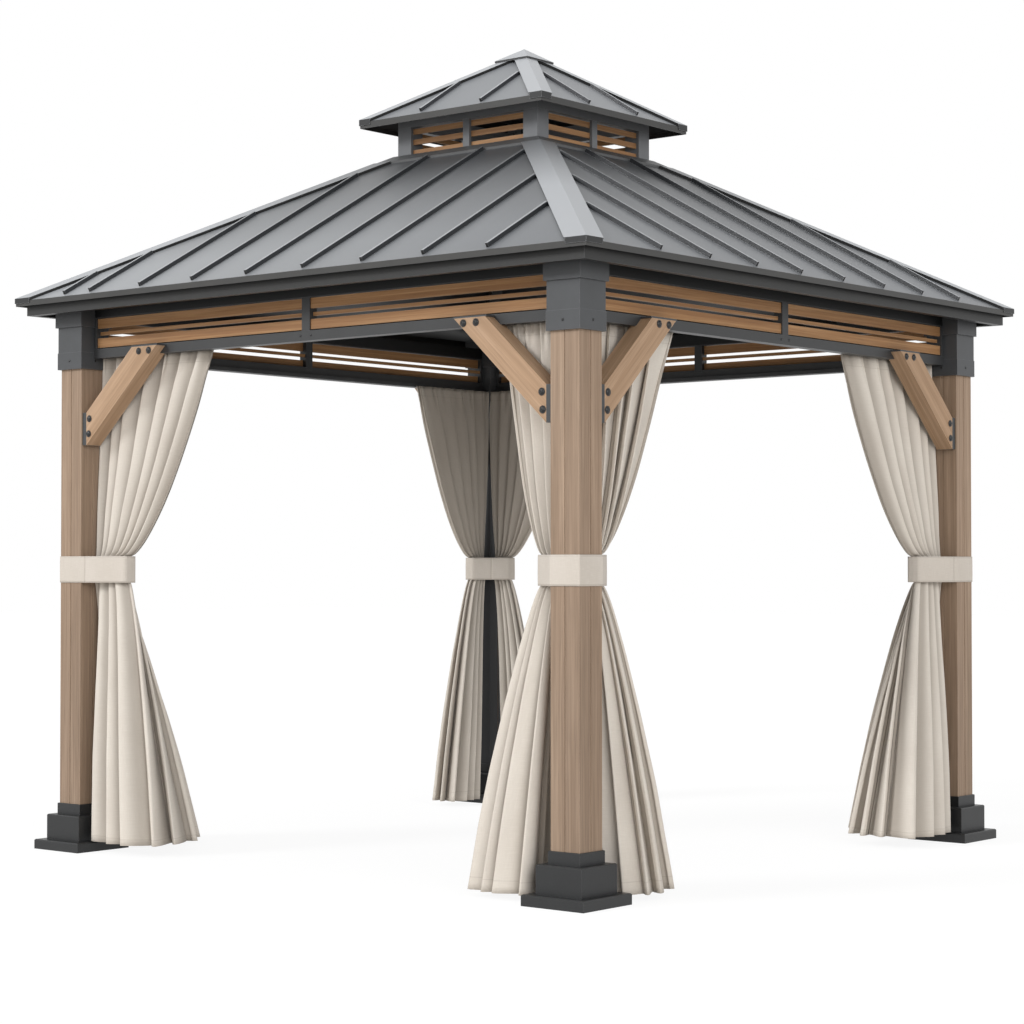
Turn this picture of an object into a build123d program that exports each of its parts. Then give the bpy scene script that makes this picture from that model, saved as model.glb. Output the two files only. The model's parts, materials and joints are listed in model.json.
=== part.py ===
"""A square hardtop gazebo: four posts on stepped feet, louvred beams with knee
braces, a two-tier hipped roof with standing seams round a louvred cupola, and
tied-back curtains. Millimetres, +Z up, origin on the ground at the middle."""

import os
from math import cos, hypot, radians, sin, sqrt, tan

from build123d import *

os.makedirs("parts", exist_ok=True)

# Quarter turns that carry the front left corner or the front side to the others
CORNERS = {"front_left": 0, "front_right": 90, "back_right": 180, "back_left": 270}
SIDES = {"front": 0, "right": 90, "back": 180, "left": 270}
QUARTERS = 4

# Clearance between pieces that seat on each other
FIT = 0.3

# Posts
POST_WIDTH = 128
GROOVE_WIDTH = 5
GROOVE_DEPTH = 2.5

# Stepped feet round the posts
FOOT_WIDTH = 277
FOOT_HEIGHT = 40
FOOT_FLOOR = 6
FOOT_CHAMFER = 4
BOX_WIDTH = 203
BOX_HEIGHT = 105
COLLAR_WIDTH = 142
COLLAR_HEIGHT = 46
COLLAR_CHAMFER = 2

# Metal caps over the post tops
CAP_BOTTOM = 2010
CAP_WALL = 10
CAP_BAND_HEIGHT = 70
CAP_BAND_PROUD = 2
CAP_BODY_HEIGHT = 106
CAP_HEAD_WIDTH = 166

# Louvred beams between the posts
BEAM_SETBACK = 55
BEAM_DEPTH = 40
BEAM_RISE = 45
RAIL_HEIGHT = 39
RAIL_LIP_HEIGHT = 12
RAIL_LIP_DEPTH = 5
TOP_RAIL_HEIGHT = 55
BAY_HEIGHT = 128
STILE_WIDTH = 12
MULLION_WIDTH = 42
SLAT_THICKNESS = 14
SLAT_HEIGHTS = (39, 14, 40)
SLAT_SETBACKS = (6, 20, 6)
SLAT_LIFT = 5
SLAT_GAP = 14

# Knee braces and their brackets
BRACE_WIDTH = 100
BRACE_DEPTH = 76
BRACE_SETBACK = 6
BRACE_RUN = 356
BRACE_DROP = 326
BRACE_LAP = 28
PLATE_THICKNESS = 24
TOP_PLATE_THICKNESS = 6
TOP_PLATE_OVERHANG = 5

# Eave of the lower roof, with the overhang past the post centres
EAVE_WIDTH = 3050
EAVE_OVERHANG = 203
EAVE_RISE = 286
LOWER_PITCH = 29.16
PANEL_THICKNESS = 3
HIP_GAP = 3
DRIP_HEIGHT = 22
DRIP_THICKNESS = 3
DRIP_PROJECTION = 33
FASCIA_RISE = 227
FASCIA_THICKNESS = 30

# Standing seams and hip caps
SEAM_COUNT = 8
SEAM_WIDTH = 12
SEAM_HEIGHT = 17
SEAM_START = 26
SHORT_SEAM_INSET = 297
HIP_WING = 92
HIP_RISE = 12
HIP_THICKNESS = 3

# Hip rafters under the lower roof
RAFTER_WIDTH = 50
RAFTER_DEPTH = 75
RAFTER_SEAT = 5

# Cupola on its curb
CURB_WIDTH = 796
CURB_WALL = 66
CURB_DEPTH = 60
SKIRT_WIDTH = 54
SKIRT_THICKNESS = 10
CUPOLA_POST = 74
CUPOLA_INSET = 14.5
LOUVRE_HEIGHT = 119
CUPOLA_MULLION = 34
CUPOLA_HEADER_THICKNESS = 40
CUPOLA_SLAT_HEIGHT = 22
CUPOLA_SLAT_PITCH = 45
CUPOLA_SLAT_THICKNESS = 12
CUPOLA_SLAT_COUNT = 3
CUPOLA_SLAT_SETBACK = 14

# Upper roof over the cupola
TOP_OVERHANG = 104
TOP_EAVE_RISE = 142
TOP_PITCH = 31.6
TOP_DRIP_HEIGHT = 26
TOP_SEAM_SPACING = 330
TOP_SEAM_COUNT = 2
TOP_SEAM_HEIGHT = 15
TOP_HIP_WING = 62
APEX_CAP_WIDTH = 180
APEX_CAP_WALL = 3
APEX_CAP_LIP = 8
APEX_CAP_LAP = 22
APEX_GAP = 14

# Curtains, their tracks and ties
TRACK_DEPTH = 12
TRACK_HEIGHT = 16
TRACK_DROP = 22
CURTAIN_RISE = 5
CURTAIN_HEADER_DEPTH = 32
CURTAIN_START = 78
HEADER_HEIGHT = 20
BUNDLE_GAP = 4
BUNDLE_DEPTH = 68
BUNDLE_INSET = 40
SWAG_SHARES = (0, 0.1, 0.3, 0.6, 1)
SWAG_BULGE = 0.65
WAIST_HEIGHT = 600
WAIST_SPREAD = 0.57
HEM_GAP = 6
HEM_HEIGHT = 25
CUT_SHARE = 0.25
DIAGONAL_GAP = 4
TIE_HEIGHT = 110
TIE_MIDDLE = 1170
TIE_THICKNESS = 3
TIE_SLACK = 1

# The two curtains at each post: how far the track spreads it, how wide it is at the
# tie, its hem's reach along the side, outward and inward from the post's centre, and
# whether the hem lies over the foot's edge
CURTAINS = {
    "front_left": ((725, 210, 400, 105, 250, True), (600, 108, 520, 90, 255)),
    "front_right": ((660, 108, 445, 165, 180), (365, 108, 475, 100, 190)),
    "back_right": ((470, 108, 465, 90, 200), (785, 217, 405, 110, 265, True)),
    "back_left": ((600, 108, 395, 90, 110), (600, 108, 395, 90, 100)),
}

# Positions worked out from the sizes above
POST_SPACING = EAVE_WIDTH - 2 * EAVE_OVERHANG
HALF_SPACING = POST_SPACING / 2
POST_HALF = POST_WIDTH / 2
COLLAR_TOP = FOOT_HEIGHT + BOX_HEIGHT + COLLAR_HEIGHT
CAP_WIDTH = POST_WIDTH + 2 * CAP_WALL
CAP_BAND_WIDTH = CAP_WIDTH + 2 * CAP_BAND_PROUD
CAP_HEAD_BOTTOM = CAP_BOTTOM + CAP_BAND_HEIGHT + CAP_BODY_HEIGHT
LOWER_RAIL_LENGTH = POST_SPACING - CAP_BAND_WIDTH - 2 * FIT
BEAM_LENGTH = POST_SPACING - CAP_HEAD_WIDTH - 2 * FIT
BEAM_FRONT = POST_HALF - BEAM_SETBACK
BEAM_MIDDLE = BEAM_FRONT - BEAM_DEPTH / 2
BEAM_BOTTOM = CAP_BOTTOM + BEAM_RISE
BAY_BOTTOM = BEAM_BOTTOM + RAIL_HEIGHT
BAY_TOP = BAY_BOTTOM + BAY_HEIGHT
BAY_WIDTH = (BEAM_LENGTH - 2 * STILE_WIDTH - MULLION_WIDTH) / 2
EAVE_HALF = EAVE_WIDTH / 2
EAVE_TOP = CAP_BOTTOM + EAVE_RISE
FASCIA_BOTTOM = CAP_BOTTOM + FASCIA_RISE
SEAM_SPACING = EAVE_WIDTH / (SEAM_COUNT + 2)
DRIP_HALF = EAVE_HALF - HIP_THICKNESS - FIT
PANEL_EDGE = DRIP_HALF - DRIP_THICKNESS - FIT
FASCIA_HALF = DRIP_HALF - DRIP_PROJECTION
CURB_HALF = CURB_WIDTH / 2
SKIRT_HALF = CURB_HALF + SKIRT_WIDTH
TOP_HALF = CURB_HALF + TOP_OVERHANG
TOP_DRIP_HALF = TOP_HALF - HIP_THICKNESS - FIT
TOP_PANEL_EDGE = TOP_DRIP_HALF - DRIP_THICKNESS - FIT
CUPOLA_FACE = CURB_HALF - CUPOLA_INSET
CUPOLA_POST_SPACING = 2 * CUPOLA_FACE - CUPOLA_POST
CURTAIN_TOP = BEAM_BOTTOM + CURTAIN_RISE
TIE_BOTTOM = TIE_MIDDLE - TIE_HEIGHT / 2
TIE_TOP = TIE_MIDDLE + TIE_HEIGHT / 2


def roof_height(half, eave_half, eave_top, pitch):
    """Height of a roof's surface at a distance from the middle of the plan."""
    return eave_top + (eave_half - half) * tan(radians(pitch))


def lower_top(half):
    return roof_height(half, EAVE_HALF, EAVE_TOP, LOWER_PITCH)


def lower_under(half):
    return lower_top(half) - PANEL_THICKNESS / cos(radians(LOWER_PITCH))


CUPOLA_BASE = lower_top(CURB_HALF) + SKIRT_THICKNESS
TOP_EAVE_TOP = CUPOLA_BASE + TOP_EAVE_RISE


def upper_top(half):
    return roof_height(half, TOP_HALF, TOP_EAVE_TOP, TOP_PITCH)


def upper_under(half):
    return upper_top(half) - PANEL_THICKNESS / cos(radians(TOP_PITCH))


# The hip rafters' underside over the post centres sets the height of the cap heads
HIP_SLOPE = tan(radians(LOWER_PITCH)) / sqrt(2)
RAFTER_DROP = RAFTER_WIDTH / 2 * HIP_SLOPE + FIT
RAFTER_UPRIGHT = RAFTER_DEPTH * sqrt(1 + HIP_SLOPE**2)
CAP_TOP = lower_under(HALF_SPACING) - RAFTER_DROP - RAFTER_UPRIGHT + RAFTER_SEAT


def save(shape, name):
    """Label one finished piece and write it under its own name."""
    shape.label = name
    export_step(shape, f"parts/{name}.step")


def mitred_side(section, gap):
    """The right-hand length of a square ring with this section, cut at 45 degrees."""
    reach = max(point[0] for point in section)
    low = min(point[1] for point in section)
    high = max(point[1] for point in section)
    with BuildPart() as side:
        with BuildSketch(Plane.XZ):
            with BuildLine():
                Polyline(*section, close=True)
            make_face()
        extrude(amount=reach, both=True)
        with BuildSketch(Plane.XY.offset(low)):
            with BuildLine():
                Polyline((gap, 0), (reach + gap, reach), (reach + gap, -reach), close=True)
            make_face()
        extrude(amount=high - low, mode=Mode.INTERSECT)
    return side.part


def square_ring(section, gap=FIT):
    """Four mitred lengths of one section round the middle of the plan."""
    with BuildPart() as ring:
        with PolarLocations(0, QUARTERS):
            add(mitred_side(section, gap))
    return ring.part


def slope_plane(eave_half, eave_top, pitch, lift=0):
    """The front face's plane, x along the eave and y up the slope from it."""
    slope = Plane(origin=(0, -eave_half, eave_top), x_dir=(1, 0, 0), z_dir=(0, 0, 1))
    return slope.rotated((pitch, 0, 0)).offset(lift)


def roof_face(eave_half, eave_top, pitch, edge, inner, seams, seam_height, wing, seam_stop):
    """One face of a hipped roof: a flat sheet with upright folded seams on it."""
    run = cos(radians(pitch))
    inner_edge = inner + FIT + PANEL_THICKNESS * sin(radians(pitch))
    low = (eave_half - edge) / run
    high = (eave_half - inner_edge) / run
    with BuildPart() as face:
        with BuildSketch(slope_plane(eave_half, eave_top, pitch)):
            with BuildLine():
                Polyline(
                    (-edge + HIP_GAP, low),
                    (edge - HIP_GAP, low),
                    (inner_edge - HIP_GAP, high),
                    (-inner_edge + HIP_GAP, high),
                    close=True,
                )
            make_face()
        extrude(amount=-PANEL_THICKNESS)
        with BuildSketch(slope_plane(eave_half, eave_top, pitch)):
            for offset in seams:
                to_hip = eave_half - abs(offset) - SEAM_WIDTH / 2 - wing - FIT
                end = min(to_hip, eave_half - seam_stop) / run
                with Locations((offset, (SEAM_START + end) / 2)):
                    Rectangle(SEAM_WIDTH, end - SEAM_START)
        extrude(amount=seam_height)
    return face.part


def seam_offsets(count, spacing):
    """Places of evenly spaced seams about the middle of a roof face."""
    return [(index - (count - 1) / 2) * spacing for index in range(count)]


def hip_cap(eave_half, eave_top, pitch, wing, drop, stop):
    """The folded cap over the front left hip, with lips down to the sheets and a
    nose that wraps the drip edges at the corner."""
    run = cos(radians(pitch))
    length = (eave_half - stop) / run
    hip_plane = Plane(origin=(0, 0, 0), z_dir=(-1, 1, 0))
    nose_top = eave_top + HIP_RISE / run
    with BuildPart() as cap:
        with BuildSketch(slope_plane(eave_half, eave_top, pitch, HIP_RISE)):
            with BuildLine():
                Polyline(
                    (-eave_half, 0),
                    (-eave_half + wing, 0),
                    (-stop + wing, length),
                    (-stop - wing, length),
                    (-eave_half - wing, 0),
                    close=True,
                )
            make_face()
        extrude(amount=-HIP_THICKNESS)
        with BuildSketch(slope_plane(eave_half, eave_top, pitch, FIT)):
            with BuildLine():
                Polyline(
                    (-eave_half + wing - HIP_THICKNESS, 0),
                    (-eave_half + wing, 0),
                    (-stop + wing, length),
                    (-stop + wing - HIP_THICKNESS, length),
                    close=True,
                )
            make_face()
        extrude(amount=HIP_RISE - FIT)
        with Locations((-eave_half + wing / 2, -eave_half + HIP_THICKNESS / 2, nose_top - drop)):
            Box(wing, HIP_THICKNESS, drop, align=(Align.CENTER, Align.CENTER, Align.MIN))
        with Locations((0, 0, eave_top - drop)):
            Box(
                2 * eave_half,
                2 * eave_half,
                2 * eave_top,
                align=(Align.CENTER, Align.CENTER, Align.MIN),
                mode=Mode.INTERSECT,
            )
        split(bisect_by=hip_plane, keep=Keep.BOTTOM)
        mirror(about=hip_plane)
    return cap.part


# Posts: square, with one groove down the middle of each face
with BuildPart() as post:
    with BuildSketch(Plane.XY.offset(FOOT_FLOOR + FIT)):
        with Locations((-HALF_SPACING, -HALF_SPACING)):
            Rectangle(POST_WIDTH, POST_WIDTH)
            with PolarLocations(POST_HALF - GROOVE_DEPTH / 2, QUARTERS):
                Rectangle(GROOVE_DEPTH, GROOVE_WIDTH, mode=Mode.SUBTRACT)
    extrude(amount=CAP_HEAD_BOTTOM - FOOT_FLOOR - FIT)

# Stepped feet: a wide foot with a floor, a box and a collar, each round the post
with BuildPart() as post_foot:
    with Locations((-HALF_SPACING, -HALF_SPACING, 0)):
        Box(FOOT_WIDTH, FOOT_WIDTH, FOOT_HEIGHT, align=(Align.CENTER, Align.CENTER, Align.MIN))
    chamfer(post_foot.faces().sort_by(Axis.Z)[-1].edges(), FOOT_CHAMFER)
    with Locations((-HALF_SPACING, -HALF_SPACING, FOOT_FLOOR)):
        Box(
            POST_WIDTH + 2 * FIT,
            POST_WIDTH + 2 * FIT,
            FOOT_HEIGHT,
            align=(Align.CENTER, Align.CENTER, Align.MIN),
            mode=Mode.SUBTRACT,
        )


def sleeve(width, low, high, edge):
    """A square sleeve that the post passes through, its top edge chamfered."""
    with BuildPart() as tube:
        with BuildSketch(Plane.XY.offset(low)):
            with Locations((-HALF_SPACING, -HALF_SPACING)):
                Rectangle(width, width)
        extrude(amount=high - low)
        chamfer(tube.faces().sort_by(Axis.Z)[-1].edges(), edge)
        with BuildSketch(Plane.XY.offset(low)):
            with Locations((-HALF_SPACING, -HALF_SPACING)):
                Rectangle(POST_WIDTH + 2 * FIT, POST_WIDTH + 2 * FIT)
        extrude(amount=high - low, mode=Mode.SUBTRACT)
    return tube.part


with BuildPart() as post_base:
    add(post_foot.part)
    add(sleeve(BOX_WIDTH, FOOT_HEIGHT + FIT, FOOT_HEIGHT + BOX_HEIGHT, FOOT_CHAMFER))
    add(sleeve(COLLAR_WIDTH, FOOT_HEIGHT + BOX_HEIGHT + FIT, COLLAR_TOP, COLLAR_CHAMFER))

# Post caps: a band, a body and a wider head that carries the hip rafter
with BuildPart() as post_cap:
    with BuildSketch(Plane.XY.offset(CAP_BOTTOM)):
        with Locations((-HALF_SPACING, -HALF_SPACING)):
            Rectangle(CAP_BAND_WIDTH, CAP_BAND_WIDTH)
    extrude(amount=CAP_BAND_HEIGHT)
    with BuildSketch(Plane.XY.offset(CAP_BOTTOM)):
        with Locations((-HALF_SPACING, -HALF_SPACING)):
            Rectangle(CAP_WIDTH, CAP_WIDTH)
    extrude(amount=CAP_BAND_HEIGHT + CAP_BODY_HEIGHT)
    with BuildSketch(Plane.XY.offset(CAP_BOTTOM)):
        with Locations((-HALF_SPACING, -HALF_SPACING)):
            Rectangle(POST_WIDTH + 2 * FIT, POST_WIDTH + 2 * FIT)
    extrude(amount=CAP_BAND_HEIGHT + CAP_BODY_HEIGHT, mode=Mode.SUBTRACT)
    with BuildSketch(Plane.XY.offset(CAP_HEAD_BOTTOM + FIT)):
        with Locations((-HALF_SPACING, -HALF_SPACING)):
            Rectangle(CAP_HEAD_WIDTH, CAP_HEAD_WIDTH)
    extrude(amount=CAP_TOP - CAP_HEAD_BOTTOM - FIT)

# Beam frames: two rails, two end stiles and a mullion, bolted together, and a lip along
# the lower rail's back that closes the gap under the slats
with BuildPart() as beam_frame:
    with BuildSketch(Plane.XY.offset(BEAM_BOTTOM)):
        with Locations((0, -HALF_SPACING - BEAM_MIDDLE)):
            Rectangle(LOWER_RAIL_LENGTH, BEAM_DEPTH)
    extrude(amount=RAIL_HEIGHT)
    with BuildSketch(Plane.XY.offset(BAY_TOP)):
        with Locations((0, -HALF_SPACING - BEAM_MIDDLE)):
            Rectangle(BEAM_LENGTH, BEAM_DEPTH)
    extrude(amount=TOP_RAIL_HEIGHT)
    with BuildSketch(Plane.XY.offset(BAY_BOTTOM + FIT)):
        with Locations((0, -HALF_SPACING - BEAM_MIDDLE)):
            Rectangle(MULLION_WIDTH, BEAM_DEPTH)
            with GridLocations(BEAM_LENGTH - STILE_WIDTH, 0, 2, 1):
                Rectangle(STILE_WIDTH, BEAM_DEPTH)
    extrude(amount=BAY_HEIGHT - 2 * FIT)
    with BuildSketch(Plane.XY.offset(BAY_BOTTOM)):
        with Locations((0, -HALF_SPACING - BEAM_FRONT + BEAM_DEPTH - RAIL_LIP_DEPTH / 2)):
            with GridLocations(BAY_WIDTH + MULLION_WIDTH, 0, 2, 1):
                Rectangle(BAY_WIDTH - 2 * FIT, RAIL_LIP_DEPTH)
    extrude(amount=RAIL_LIP_HEIGHT)

# Beam slats: a low and a high board near the front, a narrower one set back between
with BuildPart() as beam_slats:
    slat_bottom = BAY_BOTTOM + SLAT_LIFT
    for height, setback in zip(SLAT_HEIGHTS, SLAT_SETBACKS):
        slat_y = -HALF_SPACING - BEAM_FRONT + setback + SLAT_THICKNESS / 2
        with BuildSketch(Plane.XY.offset(slat_bottom)):
            with Locations((0, slat_y)):
                with GridLocations(BAY_WIDTH + MULLION_WIDTH, 0, 2, 1):
                    Rectangle(BAY_WIDTH - 2 * FIT, SLAT_THICKNESS)
        extrude(amount=height)
        slat_bottom += height + SLAT_GAP

# Knee brace along the front: a square-cut strut lapped over the lower rail
BRACE_FRONT = -HALF_SPACING - POST_HALF + BRACE_SETBACK
BRACE_FOOT = POST_HALF + PLATE_THICKNESS + 2 * FIT - HALF_SPACING
BRACE_TOP = BEAM_BOTTOM + BRACE_LAP
BRACE_LENGTH = hypot(BRACE_RUN, BRACE_DROP)
UPRIGHT_CUT = BRACE_WIDTH * BRACE_LENGTH / BRACE_RUN
LEVEL_CUT = BRACE_WIDTH * BRACE_LENGTH / BRACE_DROP
BRACE_LOW = BRACE_TOP - BRACE_DROP - UPRIGHT_CUT / 2

with BuildPart() as knee_brace:
    with BuildSketch(Plane.XZ.offset(-BRACE_FRONT)):
        with BuildLine():
            Polyline(
                (BRACE_FOOT, BRACE_LOW),
                (BRACE_FOOT, BRACE_LOW + UPRIGHT_CUT),
                (BRACE_FOOT + BRACE_RUN - LEVEL_CUT / 2, BRACE_TOP),
                (BRACE_FOOT + BRACE_RUN + LEVEL_CUT / 2, BRACE_TOP),
                close=True,
            )
        make_face()
    extrude(amount=-BRACE_DEPTH)
    with Locations((0, -HALF_SPACING - BEAM_FRONT - FIT, BEAM_BOTTOM - FIT)):
        Box(
            POST_SPACING,
            BRACE_DEPTH,
            RAIL_HEIGHT,
            align=(Align.CENTER, Align.MIN, Align.MIN),
            mode=Mode.SUBTRACT,
        )

diagonal = Plane(origin=(0, 0, 0), z_dir=(-1, 1, 0))

with BuildPart() as knee_braces:
    add(knee_brace.part)
    mirror(about=diagonal)

# Brace brackets: an upright plate on the post and a plate over the lapped end
with BuildPart() as bracket_pair:
    with Locations((BRACE_FOOT - FIT, BRACE_FRONT, BRACE_LOW)):
        Box(
            PLATE_THICKNESS,
            BRACE_DEPTH,
            UPRIGHT_CUT,
            align=(Align.MAX, Align.MIN, Align.MIN),
        )
    with Locations((BRACE_FOOT + BRACE_RUN, BRACE_FRONT, BRACE_TOP + FIT)):
        Box(
            LEVEL_CUT + 2 * TOP_PLATE_OVERHANG,
            BEAM_SETBACK - BRACE_SETBACK - FIT,
            TOP_PLATE_THICKNESS,
            align=(Align.CENTER, Align.MIN, Align.MIN),
        )

with BuildPart() as corner_brackets:
    add(bracket_pair.part)
    mirror(about=diagonal)

with BuildPart() as brace_brackets:
    with PolarLocations(0, QUARTERS):
        add(corner_brackets.part)

# Fascia and drip edges of the two eaves
fascia_inner = FASCIA_HALF - FASCIA_THICKNESS
eave_fascia = square_ring(
    [
        (FASCIA_HALF, FASCIA_BOTTOM),
        (FASCIA_HALF, lower_under(FASCIA_HALF) - FIT),
        (fascia_inner, lower_under(fascia_inner) - FIT),
        (fascia_inner, FASCIA_BOTTOM),
    ]
)


def drip_section(outer, inner, top, under, height):
    """A drip edge: an upright lip and a flange that lies under the roof sheet."""
    lip = outer - DRIP_THICKNESS
    return [
        (outer, top(outer) - height),
        (outer, top(outer)),
        (lip, top(lip)),
        (lip, under(lip) - FIT),
        (inner, under(inner) - FIT),
        (inner, under(inner) - FIT - DRIP_THICKNESS),
        (lip, under(lip) - FIT - DRIP_THICKNESS),
        (lip, top(outer) - height),
    ]


eave_drip_edge = square_ring(
    drip_section(DRIP_HALF, FASCIA_HALF + FIT, lower_top, lower_under, DRIP_HEIGHT)
)
cupola_drip_edge = square_ring(
    drip_section(TOP_DRIP_HALF, CUPOLA_FACE + FIT, upper_top, upper_under, TOP_DRIP_HEIGHT)
)

# Lower roof: four seamed faces and the caps over their hips
lower_seams = seam_offsets(SEAM_COUNT, SEAM_SPACING)
lower_face = roof_face(
    EAVE_HALF, EAVE_TOP, LOWER_PITCH, PANEL_EDGE, CURB_HALF, lower_seams,
    SEAM_HEIGHT, HIP_WING, SKIRT_HALF + FIT,
)
front_face = roof_face(
    EAVE_HALF, EAVE_TOP, LOWER_PITCH, PANEL_EDGE, CURB_HALF,
    [SHORT_SEAM_INSET - EAVE_HALF] + lower_seams, SEAM_HEIGHT, HIP_WING, SKIRT_HALF + FIT,
)
lower_hip = hip_cap(EAVE_HALF, EAVE_TOP, LOWER_PITCH, HIP_WING, DRIP_HEIGHT, SKIRT_HALF + FIT)

with BuildPart() as roof_hip_caps:
    with PolarLocations(0, QUARTERS):
        add(lower_hip)

# Hip rafters: from the curb to the eave corner, notched over the post caps
rafter_outer = fascia_inner - FIT
rafter_inner = CURB_HALF - CURB_WALL / 2
with BuildPart() as hip_rafter:
    with BuildSketch(Plane(origin=(0, 0, 0), x_dir=(-1, -1, 0), z_dir=(-1, 1, 0))):
        with BuildLine():
            outer_top = lower_under(rafter_outer) - RAFTER_DROP
            inner_top = lower_under(rafter_inner) - RAFTER_DROP
            Polyline(
                (rafter_outer * sqrt(2), outer_top - RAFTER_UPRIGHT),
                (rafter_outer * sqrt(2), outer_top),
                (rafter_inner * sqrt(2), inner_top),
                (rafter_inner * sqrt(2), inner_top - RAFTER_UPRIGHT),
                close=True,
            )
        make_face()
    extrude(amount=RAFTER_WIDTH / 2, both=True)
    with BuildSketch(Plane.XY.offset(CAP_HEAD_BOTTOM)):
        Rectangle(2 * rafter_outer, 2 * rafter_outer)
        Rectangle(2 * (CURB_HALF + FIT), 2 * (CURB_HALF + FIT), mode=Mode.SUBTRACT)
    extrude(amount=CUPOLA_BASE - CAP_HEAD_BOTTOM, mode=Mode.INTERSECT)
    with Locations((-HALF_SPACING, -HALF_SPACING, CAP_HEAD_BOTTOM)):
        Box(
            CAP_HEAD_WIDTH + 2 * FIT,
            CAP_HEAD_WIDTH + 2 * FIT,
            CAP_TOP - CAP_HEAD_BOTTOM + FIT,
            align=(Align.CENTER, Align.CENTER, Align.MIN),
            mode=Mode.SUBTRACT,
        )

with BuildPart() as hip_rafters:
    with PolarLocations(0, QUARTERS):
        add(hip_rafter.part)

# Curb: a square ring that the rafters meet, with a skirt over the roof sheets
curb_inner = CURB_HALF - CURB_WALL
curb_bottom = lower_under(CURB_HALF) - CURB_DEPTH
cupola_curb = square_ring(
    [
        (curb_inner, curb_bottom),
        (CURB_HALF, curb_bottom),
        (CURB_HALF, lower_top(CURB_HALF) + FIT),
        (SKIRT_HALF, lower_top(SKIRT_HALF) + FIT),
        (SKIRT_HALF, lower_top(SKIRT_HALF) + SKIRT_THICKNESS),
        (CURB_HALF, CUPOLA_BASE),
        (curb_inner, CUPOLA_BASE),
    ]
)

# Cupola frame: corner posts, mullions and headers under the upper roof
header_bottom = CUPOLA_BASE + LOUVRE_HEIGHT
header_inner = CUPOLA_FACE - CUPOLA_HEADER_THICKNESS
cupola_header = square_ring(
    [
        (CUPOLA_FACE, header_bottom),
        (CUPOLA_FACE, upper_under(CUPOLA_FACE) - FIT),
        (header_inner, upper_under(header_inner) - FIT),
        (header_inner, header_bottom),
    ]
)
with BuildPart() as cupola_frame:
    with BuildSketch(Plane.XY.offset(CUPOLA_BASE + FIT)):
        with GridLocations(CUPOLA_POST_SPACING, CUPOLA_POST_SPACING, 2, 2):
            Rectangle(CUPOLA_POST, CUPOLA_POST)
        with PolarLocations(CUPOLA_FACE - CUPOLA_SLAT_SETBACK / 2, QUARTERS):
            Rectangle(CUPOLA_SLAT_SETBACK - FIT, CUPOLA_MULLION)
    extrude(amount=LOUVRE_HEIGHT - 2 * FIT)
    add(cupola_header)

# Cupola slats: three boards a side, behind the mullions
with BuildPart() as cupola_slats:
    slat_length = CUPOLA_POST_SPACING - CUPOLA_POST - 2 * FIT
    slat_middle = CUPOLA_FACE - CUPOLA_SLAT_SETBACK - FIT - CUPOLA_SLAT_THICKNESS / 2
    for index in range(CUPOLA_SLAT_COUNT):
        with BuildSketch(Plane.XY.offset(CUPOLA_BASE + FIT + index * CUPOLA_SLAT_PITCH)):
            with PolarLocations(slat_middle, QUARTERS):
                Rectangle(CUPOLA_SLAT_THICKNESS, slat_length)
        extrude(amount=CUPOLA_SLAT_HEIGHT)

# Upper roof: four seamed faces in one piece of work, their hip caps and the apex
upper_face = roof_face(
    TOP_HALF, TOP_EAVE_TOP, TOP_PITCH, TOP_PANEL_EDGE, APEX_GAP,
    seam_offsets(TOP_SEAM_COUNT, TOP_SEAM_SPACING),
    TOP_SEAM_HEIGHT, TOP_HIP_WING, APEX_CAP_WIDTH / 2,
)
with BuildPart() as cupola_roof:
    with PolarLocations(0, QUARTERS):
        add(upper_face)

upper_hip = hip_cap(
    TOP_HALF, TOP_EAVE_TOP, TOP_PITCH, TOP_HIP_WING, TOP_DRIP_HEIGHT,
    APEX_CAP_WIDTH / 2 - APEX_CAP_LAP,
)
with BuildPart() as cupola_hip_caps:
    with PolarLocations(0, QUARTERS):
        add(upper_hip)

# Apex cap: a folded pyramid over the ends of the hip caps
apex_lift = HIP_RISE / cos(radians(TOP_PITCH)) + APEX_CAP_WALL * tan(radians(TOP_PITCH)) + FIT
apex_low = upper_top(APEX_CAP_WIDTH / 2) + apex_lift
with BuildPart() as apex_cap:
    with BuildSketch(Plane.XY.offset(apex_low)):
        Rectangle(APEX_CAP_WIDTH, APEX_CAP_WIDTH)
    extrude(amount=APEX_CAP_LIP)
    with BuildSketch(Plane.XY.offset(apex_low + APEX_CAP_LIP)):
        Rectangle(APEX_CAP_WIDTH, APEX_CAP_WIDTH)
    extrude(amount=upper_top(0) - upper_top(APEX_CAP_WIDTH / 2), taper=90 - TOP_PITCH)
    with BuildSketch(Plane.XY.offset(apex_low)):
        Rectangle(APEX_CAP_WIDTH - 2 * APEX_CAP_WALL, APEX_CAP_WIDTH - 2 * APEX_CAP_WALL)
    extrude(
        amount=upper_top(APEX_CAP_WALL) - upper_top(APEX_CAP_WIDTH / 2),
        taper=90 - TOP_PITCH,
        mode=Mode.SUBTRACT,
    )

# Curtain tracks on the inner faces of the lower rails
TRACK_FRONT = -HALF_SPACING - BEAM_FRONT + BEAM_DEPTH + FIT
with BuildPart() as curtain_tracks:
    with PolarLocations(0, QUARTERS):
        with Locations((0, TRACK_FRONT, BAY_BOTTOM - TRACK_DROP)):
            Box(
                LOWER_RAIL_LENGTH,
                TRACK_DEPTH,
                TRACK_HEIGHT,
                align=(Align.CENTER, Align.MIN, Align.MAX),
            )


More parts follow.
